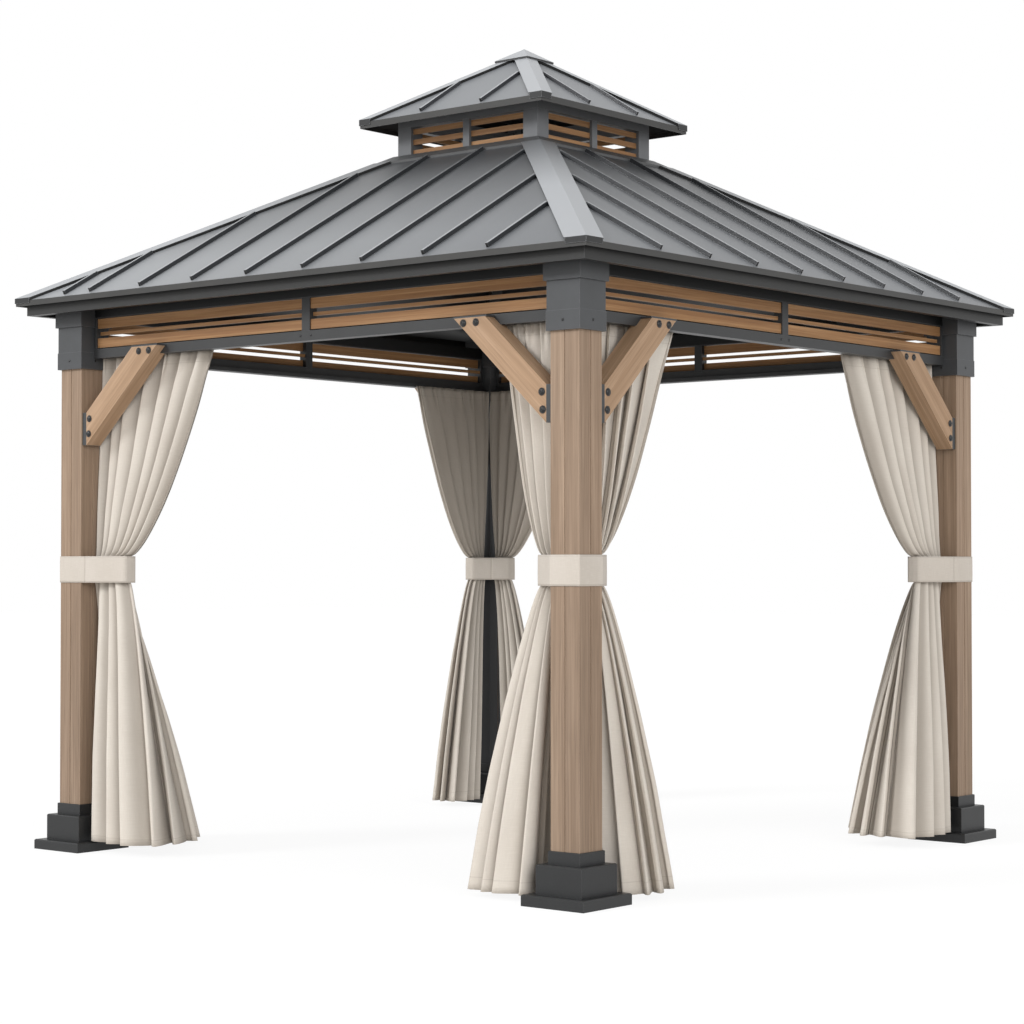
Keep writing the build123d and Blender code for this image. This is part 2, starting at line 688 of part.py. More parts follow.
def outline_points(height, near, far, outward, inward):
    """The corners of one level of a curtain: a rectangle with its corners cut off,
    which keeps to its own side of the post's diagonal."""
    cut = CUT_SHARE * min(far - near, outward + inward)
    outline = [
        (near, cut - outward),
        (near + cut, -outward),
        (far - cut, -outward),
        (far, cut - outward),
        (far, inward - cut),
        (far - cut, inward),
        (max(near + cut, inward + DIAGONAL_GAP), inward),
        (near, min(inward - cut, near - DIAGONAL_GAP)),
    ]
    return [(along - HALF_SPACING, across - HALF_SPACING, height) for along, across in outline]


def between(first, second, share):
    """The sizes of a level that lies a share of the way from one level to another."""
    return [start + (end - start) * share for start, end in zip(first, second)]


def curtain(reach, bundle_width, hem_reach, hem_outward, hem_inward, over_foot=False):
    """The front side's curtain at the front left post: spread at the track,
    pinched at the tie and belled out at the hem."""
    header_middle = TRACK_FRONT + TRACK_DEPTH + FIT + CURTAIN_HEADER_DEPTH / 2 + HALF_SPACING
    bundle_near = POST_HALF + BUNDLE_GAP
    bundle_middle = POST_HALF - BUNDLE_INSET
    header = (
        CURTAIN_START,
        reach,
        CURTAIN_HEADER_DEPTH / 2 - header_middle,
        CURTAIN_HEADER_DEPTH / 2 + header_middle,
    )
    bundle = (
        bundle_near,
        bundle_near + bundle_width,
        BUNDLE_DEPTH / 2 - bundle_middle,
        BUNDLE_DEPTH / 2 + bundle_middle,
    )
    hem_near = (BOX_WIDTH if over_foot else FOOT_WIDTH) / 2 + HEM_GAP
    hem_height = FOOT_HEIGHT + HEM_GAP if over_foot else HEM_HEIGHT
    hem = (hem_near, hem_reach, hem_outward, hem_inward)
    waist = between(bundle, hem, WAIST_SPREAD)
    swag = []
    for share in SWAG_SHARES:
        level = between(bundle, header, share)
        level[1] = bundle[1] + (reach - bundle[1]) * share**SWAG_BULGE
        swag += outline_points(TIE_TOP + (CURTAIN_TOP - HEADER_HEIGHT - TIE_TOP) * share, *level)
    with BuildPart() as cloth:
        ConvexPolyhedron(outline_points(hem_height, *hem) + outline_points(WAIST_HEIGHT, *waist))
        ConvexPolyhedron(outline_points(WAIST_HEIGHT, *waist) + outline_points(TIE_BOTTOM, *bundle))
        ConvexPolyhedron(outline_points(TIE_BOTTOM, *bundle) + outline_points(TIE_TOP, *bundle))
        ConvexPolyhedron(swag)
        ConvexPolyhedron(
            outline_points(CURTAIN_TOP - HEADER_HEIGHT, *header)
            + outline_points(CURTAIN_TOP, *header)
        )
    return cloth.part


def tie(along_width, across_width):
    """A flat band round the front left post and the two bundles beside it."""
    with BuildPart() as band:
        with BuildSketch(Plane.XY.offset(TIE_BOTTOM)) as tie_outline:
            with Locations((-HALF_SPACING, -HALF_SPACING)):
                Rectangle(POST_WIDTH, POST_WIDTH)
                bundle_middle = POST_HALF - BUNDLE_INSET
                along_middle = POST_HALF + BUNDLE_GAP + along_width / 2
                across_middle = POST_HALF + BUNDLE_GAP + across_width / 2
                with Locations((along_middle, bundle_middle)):
                    Rectangle(along_width, BUNDLE_DEPTH)
                with Locations((bundle_middle, across_middle)):
                    Rectangle(BUNDLE_DEPTH, across_width)
            make_hull()
            offset(amount=TIE_SLACK + TIE_THICKNESS, kind=Kind.INTERSECTION)
        extrude(amount=TIE_HEIGHT)
        with BuildSketch(Plane.XY.offset(TIE_BOTTOM)):
            add(tie_outline.sketch)
            offset(amount=-TIE_THICKNESS, kind=Kind.INTERSECTION, mode=Mode.REPLACE)
        extrude(amount=TIE_HEIGHT, mode=Mode.SUBTRACT)
    return band.part


# One file for each piece
for corner, turn in CORNERS.items():
    save(post.part.rotate(Axis.Z, turn), f"{corner}_post")
    save(post_base.part.rotate(Axis.Z, turn), f"{corner}_post_base")
    save(post_cap.part.rotate(Axis.Z, turn), f"{corner}_post_cap")
    save(knee_braces.part.rotate(Axis.Z, turn), f"{corner}_knee_braces")
    along, across = CURTAINS[corner]
    with BuildPart() as curtains:
        add(curtain(*along))
        add(mirror(curtain(*across), about=diagonal, mode=Mode.PRIVATE))
    save(curtains.part.rotate(Axis.Z, turn), f"{corner}_curtains")

for side, turn in SIDES.items():
    save(beam_frame.part.rotate(Axis.Z, turn), f"{side}_beam_frame")
    save(beam_slats.part.rotate(Axis.Z, turn), f"{side}_beam_slats")
    face = front_face if side == "front" else lower_face
    save(face.rotate(Axis.Z, turn), f"{side}_roof_face")

save(brace_brackets.part, "brace_brackets")
save(eave_fascia, "eave_fascia")
save(eave_drip_edge, "eave_drip_edge")
save(roof_hip_caps.part, "roof_hip_caps")
save(hip_rafters.part, "hip_rafters")
save(cupola_curb, "cupola_curb")
save(cupola_frame.part, "cupola_frame")
save(cupola_slats.part, "cupola_slats")
save(cupola_roof.part, "cupola_roof")
save(cupola_drip_edge, "cupola_drip_edge")
save(cupola_hip_caps.part, "cupola_hip_caps")
save(apex_cap.part, "apex_cap")
save(curtain_tracks.part, "curtain_tracks")

with BuildPart() as curtain_ties:
    for corner, turn in CORNERS.items():
        along, across = CURTAINS[corner]
        add(tie(along[1], across[1]).rotate(Axis.Z, turn))
save(curtain_ties.part, "curtain_ties")
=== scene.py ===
"""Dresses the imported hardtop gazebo: wood-look boards, powder-coated steel, coated
roof sheets, gathered curtains with their ties, and the small fasteners. Metres."""

import json
import random
from functools import partial
from math import atan2, cos, hypot, pi, radians, sin

import bpy
from mathutils import Euler, Matrix, Vector, noise


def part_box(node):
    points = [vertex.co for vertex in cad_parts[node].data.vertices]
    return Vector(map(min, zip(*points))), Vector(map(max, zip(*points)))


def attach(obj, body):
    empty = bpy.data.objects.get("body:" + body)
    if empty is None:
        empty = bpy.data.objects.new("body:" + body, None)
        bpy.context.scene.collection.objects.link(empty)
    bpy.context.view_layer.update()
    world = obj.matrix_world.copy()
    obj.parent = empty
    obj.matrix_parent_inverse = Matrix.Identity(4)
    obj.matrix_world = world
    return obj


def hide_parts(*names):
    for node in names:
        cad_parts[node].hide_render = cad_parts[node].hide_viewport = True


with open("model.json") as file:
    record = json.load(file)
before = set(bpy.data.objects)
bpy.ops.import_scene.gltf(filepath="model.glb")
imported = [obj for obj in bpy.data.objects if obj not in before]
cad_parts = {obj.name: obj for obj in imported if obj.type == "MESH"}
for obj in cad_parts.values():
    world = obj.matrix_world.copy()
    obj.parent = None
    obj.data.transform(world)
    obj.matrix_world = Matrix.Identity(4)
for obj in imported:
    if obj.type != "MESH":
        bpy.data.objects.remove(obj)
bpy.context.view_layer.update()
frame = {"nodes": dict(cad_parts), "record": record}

NODES = frame["nodes"]
CORNERS = ("front_left", "front_right", "back_right", "back_left")
SIDES = ("front", "right", "back", "left")
MM = 0.001
COLLECTION = bpy.context.scene.collection

# Half the distance between post centres and half a post's width, from the posts
POST_LOW, POST_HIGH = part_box("front_right_post")
HALF_SPACING = (POST_LOW.x + POST_HIGH.x) / 2
POST_HALF = (POST_HIGH.x - POST_LOW.x) / 2

# The knee braces' slope, as the part's source has it in millimetres, and the roofs' pitches
BRACE_RUN, BRACE_DROP = 356, 326
LOWER_PITCH, TOP_PITCH = radians(29.16), radians(31.6)
# Further than this above a roof sheet's plane are the tops of its folded seams
SEAM_TOPS = 0.0125
# The roof sheets' back coat, seen from below: charcoal, painted near black with the shade under the roof
BACK_COAT_AND_SHADE = "#060606"
# Boards of the beams and the cupola lie in bands of 40 mm, and each band gets its own grain
BOARD_BANDS = 25.0

# Kinds of node that recur in the materials and the fasteners
MATH = "ShaderNodeMath"
VECTOR = "ShaderNodeVectorMath"
MIX = "ShaderNodeMix"
RAMP = "ShaderNodeValToRGB"
RANGE = "ShaderNodeMapRange"
NOISE = "ShaderNodeTexNoise"
BUMP = "ShaderNodeBump"
JOIN = "ShaderNodeCombineXYZ"
SPLIT = "ShaderNodeSeparateXYZ"


def linear(code):
    """An sRGB hex colour as the linear colour that a shader takes."""
    channels = [int(code[i:i + 2], 16) / 255 for i in (1, 3, 5)]
    return (*[c / 12.92 if c <= 0.04045 else ((c + 0.055) / 1.055) ** 2.4 for c in channels], 1.0)


def add_node(tree, kind, inputs=(), stops=(), **settings):
    """Add one node with its settings. Inputs are a dictionary, or a tuple for its active
    sockets in order. Each is a value, a hex colour, a socket, a node, which gives its first
    active output, or a list of such. Stops are a colour ramp's positions and colours."""
    node = tree.nodes.new(kind)
    for name, value in settings.items():
        setattr(node, name, value)
    if isinstance(inputs, tuple):
        inputs = dict(zip([i for i, socket in enumerate(node.inputs) if socket.enabled], inputs))
    for key, given in inputs.items():
        for value in given if isinstance(given, list) else [given]:
            if isinstance(value, bpy.types.Node):
                value = next(socket for socket in value.outputs if socket.enabled)
            if isinstance(value, bpy.types.NodeSocket):
                tree.links.new(value, node.inputs[key])
            else:
                coded = isinstance(value, str) and value.startswith("#")
                node.inputs[key].default_value = linear(value) if coded else value
    if stops:
        elements = node.color_ramp.elements
        while len(elements) < len(stops):
            elements.new(0.5)
        for element, (position, value) in zip(elements, stops):
            element.position = position
            element.color = linear(value) if isinstance(value, str) else (value, value, value, 1)
    return node


def new_material(name):
    """An empty material, its tree, and add_node for that tree."""
    material = bpy.data.materials.new(name)
    material.use_nodes = True
    tree = material.node_tree
    tree.nodes.clear()
    return material, tree, partial(add_node, tree)


def finish_surface(tree, inputs):
    """One Principled surface with its inputs, as the material's output."""
    add_node(tree, "ShaderNodeOutputMaterial", (add_node(tree, "ShaderNodeBsdfPrincipled", inputs),))


def place_of(tree):
    """The object coordinates and their three parts, in metres."""
    place = add_node(tree, "ShaderNodeTexCoord").outputs["Object"]
    x, y, z = add_node(tree, SPLIT, (place,)).outputs
    return place, x, y, z


def size_of(tree, place, less=0.0):
    """How far a place is from the two middle planes, less a distance."""
    size = add_node(tree, VECTOR, (place,), operation="ABSOLUTE")
    size = add_node(tree, VECTOR, (size, (less, less, 0)), operation="SUBTRACT")
    return size, *list(add_node(tree, SPLIT, (size,)).outputs)[:2]


def painted_edge_highlights(tree, colour, light, radius, strength):
    """Paint a highlight along a coat's sharp edges: a lighter colour where they would catch the light."""
    rounded = add_node(tree, "ShaderNodeBevel", (radius,), samples=4)
    own = add_node(tree, "ShaderNodeNewGeometry").outputs["Normal"]
    turned = add_node(tree, VECTOR, (rounded, own), operation="DOT_PRODUCT")
    edge = add_node(tree, RAMP, (turned,), stops=((0.72, strength), (0.985, 0.0)))
    return add_node(tree, MIX, (edge, colour, light), data_type="RGBA")


def wood_look(name, run, tones, seed, inner=None):
    """Wood-look coated board: an aluminium or steel profile with a printed grain that was
    heat-transferred, so the eye sees a matte grain without pores or depth. The grain's
    bands are 7 to 24 mm wide, and its fine lines 2 mm, drawn a little coarse to show.
    Inner is the colour of the back left post's two faces towards the middle."""
    material, tree, node = new_material(name)
    place, x, y, z = place_of(tree)
    away, off_x, off_y = size_of(tree, place, HALF_SPACING)

    def numbered(vector, weights):
        """A whole number for each combination of the signs of a vector's parts."""
        signs = node(VECTOR, (vector,), operation="SIGN")
        return node(VECTOR, (signs, weights), operation="DOT_PRODUCT")

    if run == "upright":
        along, across, deep = z, off_x, off_y
        board = node(MATH, (numbered(away, (1, 2, 0)), numbered(place, (5, 11, 0))), operation="ADD")
    elif run == "brace":
        spread = node(MATH, (off_x, off_y), operation="MINIMUM")
        deep = node(MATH, (off_x, off_y), operation="MAXIMUM")
        slope = node(JOIN, (spread, z))
        tilt = atan2(BRACE_DROP, BRACE_RUN)
        along = node(VECTOR, (slope, (-cos(tilt), sin(tilt), 0)), operation="DOT_PRODUCT")
        across = node(VECTOR, (slope, (sin(tilt), cos(tilt), 0)), operation="DOT_PRODUCT")
        which = node(MATH, (off_x, off_y), operation="SUBTRACT")
        which = node(MATH, (which,), operation="SIGN")
        board = node(MATH, (which, numbered(place, (3, 7, 0))), operation="ADD")
    else:
        on_x = node(MATH, (off_x, off_y), operation="LESS_THAN")
        along = node(MIX, (on_x, y, x))
        deep = node(MIX, (on_x, x, y))
        across = z
        board = node(MATH, (z, BOARD_BANDS), operation="MULTIPLY")
        board = node(MATH, (board,), operation="FLOOR")
        board = node(MATH, (node(MATH, (along,), operation="SIGN"), 31.0, board), operation="MULTIPLY_ADD")
        board = node(MATH, (on_x, 77.0, board), operation="MULTIPLY_ADD")
    shift = node("ShaderNodeTexWhiteNoise", (board,), noise_dimensions="1D")
    deep = node(MATH, (shift, 3.0, deep), operation="MULTIPLY_ADD")
    on_board = node(JOIN, (across, deep, along))

    def grain(width, length, detail, twist=0.0):
        """Noise stretched along the board: its features' width and length in metres."""
        stretched = node(VECTOR, (on_board, (1 / width, 1 / width, 1 / length)), operation="MULTIPLY")
        return node(NOISE, {"Vector": stretched, "Scale": 1.0, "Detail": detail, "Roughness": 0.6,
                            "Distortion": twist})

    wide = grain(0.022 + 0.001 * seed, 0.9, 3.0, 0.6)
    bands = grain(0.0075, 0.55, 4.0, 0.35)
    fine = grain(0.0022, 0.16, 2.0)
    colour = node(RAMP, (wide,), stops=((0.34, tones[0]), (0.50, tones[1]), (0.66, tones[2])))
    streaks = node(RAMP, (bands,), stops=((0.36, 0.0), (0.60, 0.55)))
    colour = node(MIX, (streaks, colour, tones[3]), data_type="RGBA")
    lines = node(RAMP, (fine,), stops=((0.30, 0.40), (0.47, 0.0)))
    colour = node(MIX, (lines, colour, tones[4]), data_type="RGBA")
    tone = node(MATH, (shift, 0.10, 0.95), operation="MULTIPLY_ADD")
    if run == "upright":
        # the post turns a little darker towards the bottom, from 1.5 m down to 0.7 m
        tone = node(MATH, (tone, node(RANGE, (z, 0.7, 1.5, 0.89, 1.02))), operation="MULTIPLY")
    colour = node("ShaderNodeHueSaturation", {"Color": colour, "Value": tone})
    # painted highlight along the boards' sharp edges
    colour = painted_edge_highlights(tree, colour, "#D9C4AC", 0.0016, 0.45)
    if inner:
        near = HALF_SPACING - POST_HALF + 0.5 * MM
        towards_right = node(MATH, (x, -near), operation="GREATER_THAN")
        towards_front = node(MATH, (y, near), operation="LESS_THAN")
        towards = node(MATH, (towards_right, towards_front), operation="MAXIMUM")
        colour = node(MIX, (towards, colour, inner), data_type="RGBA")
    finish_surface(tree, {
        "Base Color": colour, "Roughness": node(RANGE, {0: bands, 3: 0.52, 4: 0.66}),
        "Normal": node(BUMP, {"Height": fine, "Strength": 0.25, "Distance": 0.0004})})
    return material


def powder_coat(name, code, dark, roughness, edge="#8A8C8F", shaded=None):
    """Powder-coated steel: sprayed polyester powder baked to a satin skin with a fine
    orange peel of 1 to 2 mm. Edge is the colour of a painted highlight along its sharp
    edges. Shaded paints shade on: the height in metres above which the coat is near
    black, that colour, and how far from the middle planes that goes."""
    material, tree, node = new_material(name)
    place, _, _, z = place_of(tree)
    cloud = node(NOISE, {"Vector": place, "Scale": 9.0, "Detail": 4.0, "Roughness": 0.6})
    peel = node(NOISE, {"Vector": place, "Scale": 650.0, "Detail": 2.0})
    colour = node(RAMP, (cloud,), stops=((0.30, dark), (0.70, code)))
    specks = node(RAMP, (peel,), stops=((0.38, 0.0), (0.68, 0.08)))
    colour = node(MIX, (specks, colour, "#6A6C6E"), data_type="RGBA")
    # painted shade: near black above the given height, where an eave shadows the part
    if shaded:
        height, shade, inside = shaded
        _, far_x, far_y = size_of(tree, place)
        nearer = node(MATH, (far_x, far_y), operation="MINIMUM")
        high = node(MATH, (z, height), operation="GREATER_THAN")
        dim = node(MATH, (high, node(MATH, (nearer, inside), operation="LESS_THAN")), operation="MULTIPLY")
        colour = node(MIX, (dim, colour, shade), data_type="RGBA")
    # the edge colour is a painted highlight along the sharp edges
    finish_surface(tree, {
        "Base Color": painted_edge_highlights(tree, colour, edge, 0.0015, 0.55), "Specular IOR Level": 0.45,
        "Roughness": node(RANGE, {0: cloud, 3: roughness - 0.05, 4: roughness + 0.07}),
        "Normal": node(BUMP, {"Height": peel, "Strength": 0.16, "Distance": 0.0005})})
    return material


def roof_sheet(name, code, dark, upright, sheet, pitch, shade_from=None, painted_reflection=0.0):
    """Coil-coated galvanised roof sheet: a smooth satin grey skin rolled on flat steel,
    with faint oil-canning waves of 200 to 400 mm and a charcoal back coat, painted near
    black with the shade under the roof. The folded seams' sides and other upright faces
    get painted shade. Under the cupola's eave, from the first to the second height of
    shade_from, the sheet gets painted shade. The last argument is how much paler the
    front's left side is painted, a painted reflection of the bright sky."""
    material, tree, node = new_material(name)
    place, x, y, z = place_of(tree)
    wave = node(NOISE, {"Vector": place, "Scale": 3.2, "Detail": 2.0})
    fine = node(NOISE, {"Vector": place, "Scale": 420.0, "Detail": 2.0})
    colour = node(RAMP, (wave,), stops=((0.30, dark), (0.72, code)))
    specks = node(RAMP, (fine,), stops=((0.40, 0.0), (0.65, 0.05)))
    colour = node(MIX, (specks, colour, "#D5D7DA"), data_type="RGBA")
    # painted highlight: the seams' tops lighter than the flat pans, as where they catch the sky
    low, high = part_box(sheet)
    across_slope = (sin(pitch), cos(pitch), 0)
    sheet_plane = Vector((max(high.x, -low.y), low.z, 0)).dot(Vector(across_slope))
    _, far_x, far_y = size_of(tree, place)
    reach = node(MATH, (far_x, far_y), operation="MAXIMUM")
    lift = node(VECTOR, (node(JOIN, (reach, z)), across_slope), operation="DOT_PRODUCT")
    tops = node(MATH, (lift, sheet_plane + SEAM_TOPS), operation="GREATER_THAN")
    tops = node(MATH, (tops, 0.7), operation="MULTIPLY")
    colour = node(MIX, (tops, colour, "#B7BABE"), data_type="RGBA")
    if shade_from:
        # painted reflection: the front's left side paler, as if it reflected the bright sky
        left = node(MATH, (y, 0.15, x), operation="MULTIPLY_ADD")
        left = node(RANGE, (left, 1.1, -1.5, 0.0, painted_reflection))
        front = node(MATH, (node(MATH, (y, far_x), operation="ADD"), 0.0), operation="LESS_THAN")
        left = node(MATH, (left, front), operation="MULTIPLY")
        colour = node(MIX, (left, colour, "#B4B7BA"), data_type="RGBA")
        # painted shade: the sheet darker between the two heights of shade_from, under the cupola's eave
        painted_cupola_shade = node(RANGE, (z, *shade_from, 0.0, 0.85))
        colour = node(MIX, (painted_cupola_shade, colour, "#2C2D2F"), data_type="RGBA")
    # painted shade on the seams' sides and other upright faces
    facing = node(SPLIT, (node("ShaderNodeNewGeometry").outputs["Normal"],)).outputs["Z"]
    side = node(MATH, (facing,), operation="ABSOLUTE")
    side = node(RAMP, (side,), stops=((0.25, 1.0), (0.45, 0.0)))
    colour = node(MIX, (side, colour, upright), data_type="RGBA")
    # painted highlight along the sharp edges
    colour = painted_edge_highlights(tree, colour, "#C9CCD0", 0.0022, 0.6)
    # the back coat, painted near black with the shade under the roof
    under = node(MATH, (facing, -0.3), operation="LESS_THAN")
    finish_surface(tree, {
        "Base Color": node(MIX, (under, colour, BACK_COAT_AND_SHADE), data_type="RGBA"),
        "Roughness": node(RANGE, {0: wave, 3: 0.36, 4: 0.46}),
        "Normal": node(BUMP, {"Height": wave, "Strength": 0.25, "Distance": 0.004})})
    return material


def curtain_cloth(name, tones, lines):
    """Water-resistant polyester curtain cloth: woven from slightly uneven yarn, matte, so
    the eye sees soft folds with a faint slub. Yarns are 0.5 mm, and the slubs are drawn
    2 mm thick to show. Lines are the heights of its rows of stitches."""
    material, tree, node = new_material(name)
    sheet = node("ShaderNodeUVMap", uv_map="cloth")
    height = node(SPLIT, (sheet,)).outputs["Y"]

    def slub(wide, high):
        """Noise on the flat cloth: its features' width and height in metres."""
        stretched = node(VECTOR, (sheet, (1 / wide, 1 / high, 0)), operation="MULTIPLY")
        return node(NOISE, {"Vector": stretched, "Scale": 1.0, "Detail": 2.0, "Roughness": 0.5})

    weft = slub(0.030, 0.0022)
    warp = slub(0.0022, 0.045)
    colour = node(RAMP, (slub(0.16, 0.30),), stops=((0.30, tones[0]), (0.70, tones[1])))
    thread = node(MIX, (0.4, weft, warp))
    shade = node(RAMP, (thread,), stops=((0.38, 0.14), (0.55, 0.0)))
    colour = node(MIX, (shade, colour, tones[2]), data_type="RGBA")
    light = node(RAMP, (thread,), stops=((0.52, 0.0), (0.66, 0.14)))
    colour = node(MIX, (light, colour, "#F0EAE2"), data_type="RGBA")
    for line in lines:
        # the thread sinks into the cloth and shows as a thin dark line
        off = node(MATH, (height, line), operation="SUBTRACT")
        off = node(MATH, (off,), operation="ABSOLUTE")
        stitches = node(RANGE, (off, 1 * MM, 2 * MM, 0.20, 0.0))
        colour = node(MIX, (stitches, colour, "#8E8375"), data_type="RGBA")
    # painted shade in the creases, where one fold goes under the next
    painted_crease_shade = node(SPLIT, (node("ShaderNodeUVMap", uv_map="crease"),)).outputs["X"]
    painted_crease_shade = node(MATH, (painted_crease_shade, painted_crease_shade), operation="MULTIPLY")
    painted_crease_shade = node(MATH, (painted_crease_shade, 0.50), operation="MULTIPLY")
    finish_surface(tree, {
        "Base Color": node(MIX, (painted_crease_shade, colour, "#857B70"), data_type="RGBA"), "Roughness": 0.92,
        "Specular IOR Level": 0.15, "Sheen Weight": 0.10, "Sheen Roughness": 0.5,
        "Normal": node(BUMP, {"Height": thread, "Strength": 0.22, "Distance": 0.0005})})
    return material


# Warm brown boards on the braces and slats, greyer ones on the posts
POST_TONES = ("#927B66", "#A08873", "#AD957F", "#88715C", "#5C4C3D")
BRACE_TONES = ("#A78769", "#B59577", "#C2A387", "#9C7E62", "#775B42")
SLAT_TONES = ("#946A42", "#A67C51", "#B78D62", "#8B623C", "#64472C")
# colour of the painted highlight along the edges of the darkest parts
DARK_EDGE_HIGHLIGHT = "#6A6C6F"
# colour of the painted shade on the top rail and the cupola's header
NEAR_BLACK = "#121313"
post_wood = wood_look("wood_look_post", "upright", POST_TONES, 0)
# The far post's two inner faces are near black, as on the photograph
back_post_wood = wood_look("wood_look_back_post", "upright", POST_TONES, 0, "#2B2C2E")
brace_wood = wood_look("wood_look_brace", "brace", BRACE_TONES, 1)
slat_wood = wood_look("wood_look_slat", "level", SLAT_TONES, 2)
# painted shade: the top rail near black above 2.226 m, where the fascia shadows it
rail_coat = powder_coat("charcoal_rail_coat", "#363738", "#303132", 0.46, shaded=(2.226, NEAR_BLACK, 9.0))
charcoal = powder_coat("charcoal_powder_coat", "#3F4142", "#37383A", 0.46)
trim_coat = powder_coat("trim_powder_coat", "#4A4B4C", "#424344", 0.44)
fascia_coat = powder_coat("fascia_powder_coat", "#212120", "#1C1C1B", 0.44)
drip_coat = powder_coat("drip_powder_coat", "#373634", "#30302F", 0.42, DARK_EDGE_HIGHLIGHT)
cap_coat = powder_coat("post_cap_powder_coat", "#484A4D", "#424446", 0.44, "#9A9CA0")
foot_coat = powder_coat("foot_powder_coat", "#1C1D1E", "#18191A", 0.40, DARK_EDGE_HIGHLIGHT)
# painted shade: the cupola's header near black under its eave, but not its corner posts
cupola_coat = powder_coat("cupola_powder_coat", "#6E7073", "#66686B", 0.44, "#B0B2B5",
                          (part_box("cupola_frame")[1].z - 0.042, NEAR_BLACK, 0.30))
roof_coat = roof_sheet("coil_coated_roof_sheet", "#6C6F73", "#64676B", "#2A2C2F", "front_roof_face",
                       LOWER_PITCH, (2.42, 2.86), 0.62)
top_coat = roof_sheet("coil_coated_cupola_sheet", "#7E8185", "#75787C", "#343539", "cupola_roof", TOP_PITCH)
hip_coat = roof_sheet("coil_coated_hip_cap", "#8E9194", "#84878B", "#161718", "roof_hip_caps",
                      LOWER_PITCH, (2.60, 2.98))
top_hip_coat = roof_sheet("coil_coated_cupola_hip_cap", "#9A9DA0", "#909396", "#161718", "cupola_hip_caps",
                          TOP_PITCH)
cloth = curtain_cloth("polyester_curtain_cloth", ("#D5CDC3", "#DFD8CE", "#BFB5A9"), (0.070, 2.015))
tie_cloth = curtain_cloth("polyester_tie_cloth", ("#CDC5BB", "#D4CCC3", "#B8AEA2"), (1.1205, 1.2195))
bolt_steel = powder_coat("black_oxide_bolt_head", "#121314", "#0E0F10", 0.30, DARK_EDGE_HIGHLIGHT)

by_slot = {"post_wood": post_wood, "brace_wood": brace_wood, "slat_wood": slat_wood, "dark_steel": charcoal,
           "trim_steel": trim_coat, "roof_steel": roof_coat, "curtain_fabric": cloth}
by_name = {"back_left_post": back_post_wood, "eave_fascia": fascia_coat, "eave_drip_edge": drip_coat,
           "cupola_drip_edge": drip_coat, "cupola_frame": cupola_coat, "cupola_roof": top_coat,
           "roof_hip_caps": hip_coat, "cupola_hip_caps": top_hip_coat, "apex_cap": top_hip_coat,
           "hip_rafters": foot_coat, "curtain_ties": tie_cloth}
for corner in CORNERS:
    by_name[f"{corner}_post_cap"] = cap_coat
    by_name[f"{corner}_post_base"] = foot_coat
for side in SIDES:
    by_name[f"{side}_beam_frame"] = rail_coat
for part in frame["record"]["subparts"]:
    materials = NODES[part["node"]].data.materials
    materials.clear()
    materials.append(by_name.get(part["node"], by_slot[part["material_slot"]]))

# Curtains. Sizes in millimetres, as the part's source has them: reach on the track, width
# at the tie, and the hem's reach along the side, outward and inward from the post's centre
CURTAINS = {
    "front_left": ((725, 210, 400, 105, 250), (600, 108, 520, 90, 255)),
    "front_right": ((660, 108, 445, 165, 180), (365, 108, 475, 100, 190)),
    "back_right": ((470, 108, 465, 90, 200), (785, 217, 405, 110, 265)),
    "back_left": ((600, 108, 395, 90, 110), (600, 108, 395, 90, 100)),
}
# Hems that lie over the foot's edge, curtains whose folds lie over the next away from the
# post, and each curtain's number of folds above and below its tie
OVER_FOOT = (("front_left", False), ("back_right", True))
NEAR_OVER_FAR = (("front_left", False), ("front_right", False), ("back_right", True))
FOLDS = {"front_left": ((7, 8), (6, 7)), "front_right": ((6, 9), (5, 9)),
         "back_right": ((6, 8), (7, 9)), "back_left": ((6, 9), (6, 9))}
# How much further two hems are drawn out along their side than the simple solids' are
WIDER_HEMS = {("front_left", False): 115, ("back_right", True): 110}
# Where in a fold its painted crease shade starts and is darkest, by how openly it is folded
CREASE_SHADES = {("front_left", True): (0.56, 0.78), ("front_right", False): (0.58, 0.80),
           ("front_right", True): (0.40, 0.66), ("back_right", False): (0.56, 0.78)}
PLAIN_CREASE_SHADE = (0.26, 0.52)
HALF_MM = HALF_SPACING / MM
POST_HALF_MM = POST_HALF / MM
BUNDLE_NEAR = POST_HALF_MM + 4
BUNDLE_OUT, BUNDLE_IN = 10, 58
BUNDLE_T = (BUNDLE_IN - BUNDLE_OUT) / 2
TIE_LOW, TIE_HIGH = 1115, 1225
TRACK_Z = 2060
HEADER_S, HEADER_T = 81, 59.6
HEADER_PITCH = 0.045
DIAGONAL_GAP = 4
FLAT_WIDTH, FLAT_HEIGHT = 1.25, 2.06
SWAG_BULGE = 0.65
CLOTH_THICKNESS, TIE_THICKNESS = 0.0016, 0.0022
# How finely a path is drawn before it is rounded off
PATH_STEPS = 300


def to_world(corner, across, s, t, z):
    """A place in millimetres along and across one corner's side, as metres."""
    if across:
        s, t = t, s
    x, y = s - HALF_MM, t - HALF_MM
    for _ in range(CORNERS.index(corner)):
        x, y = -y, x
    return (x * MM, y * MM, z * MM)


def running_lengths(points):
    """The distance along a run of points to each of them."""
    lengths = [0.0]
    for a, b in zip(points, points[1:]):
        lengths.append(lengths[-1] + hypot(b[0] - a[0], b[1] - a[1]))
    return lengths


def between(a, b, share):
    """The place at a share of the way from one point to another."""
    return tuple(a[k] + (b[k] - a[k]) * share for k in (0, 1))


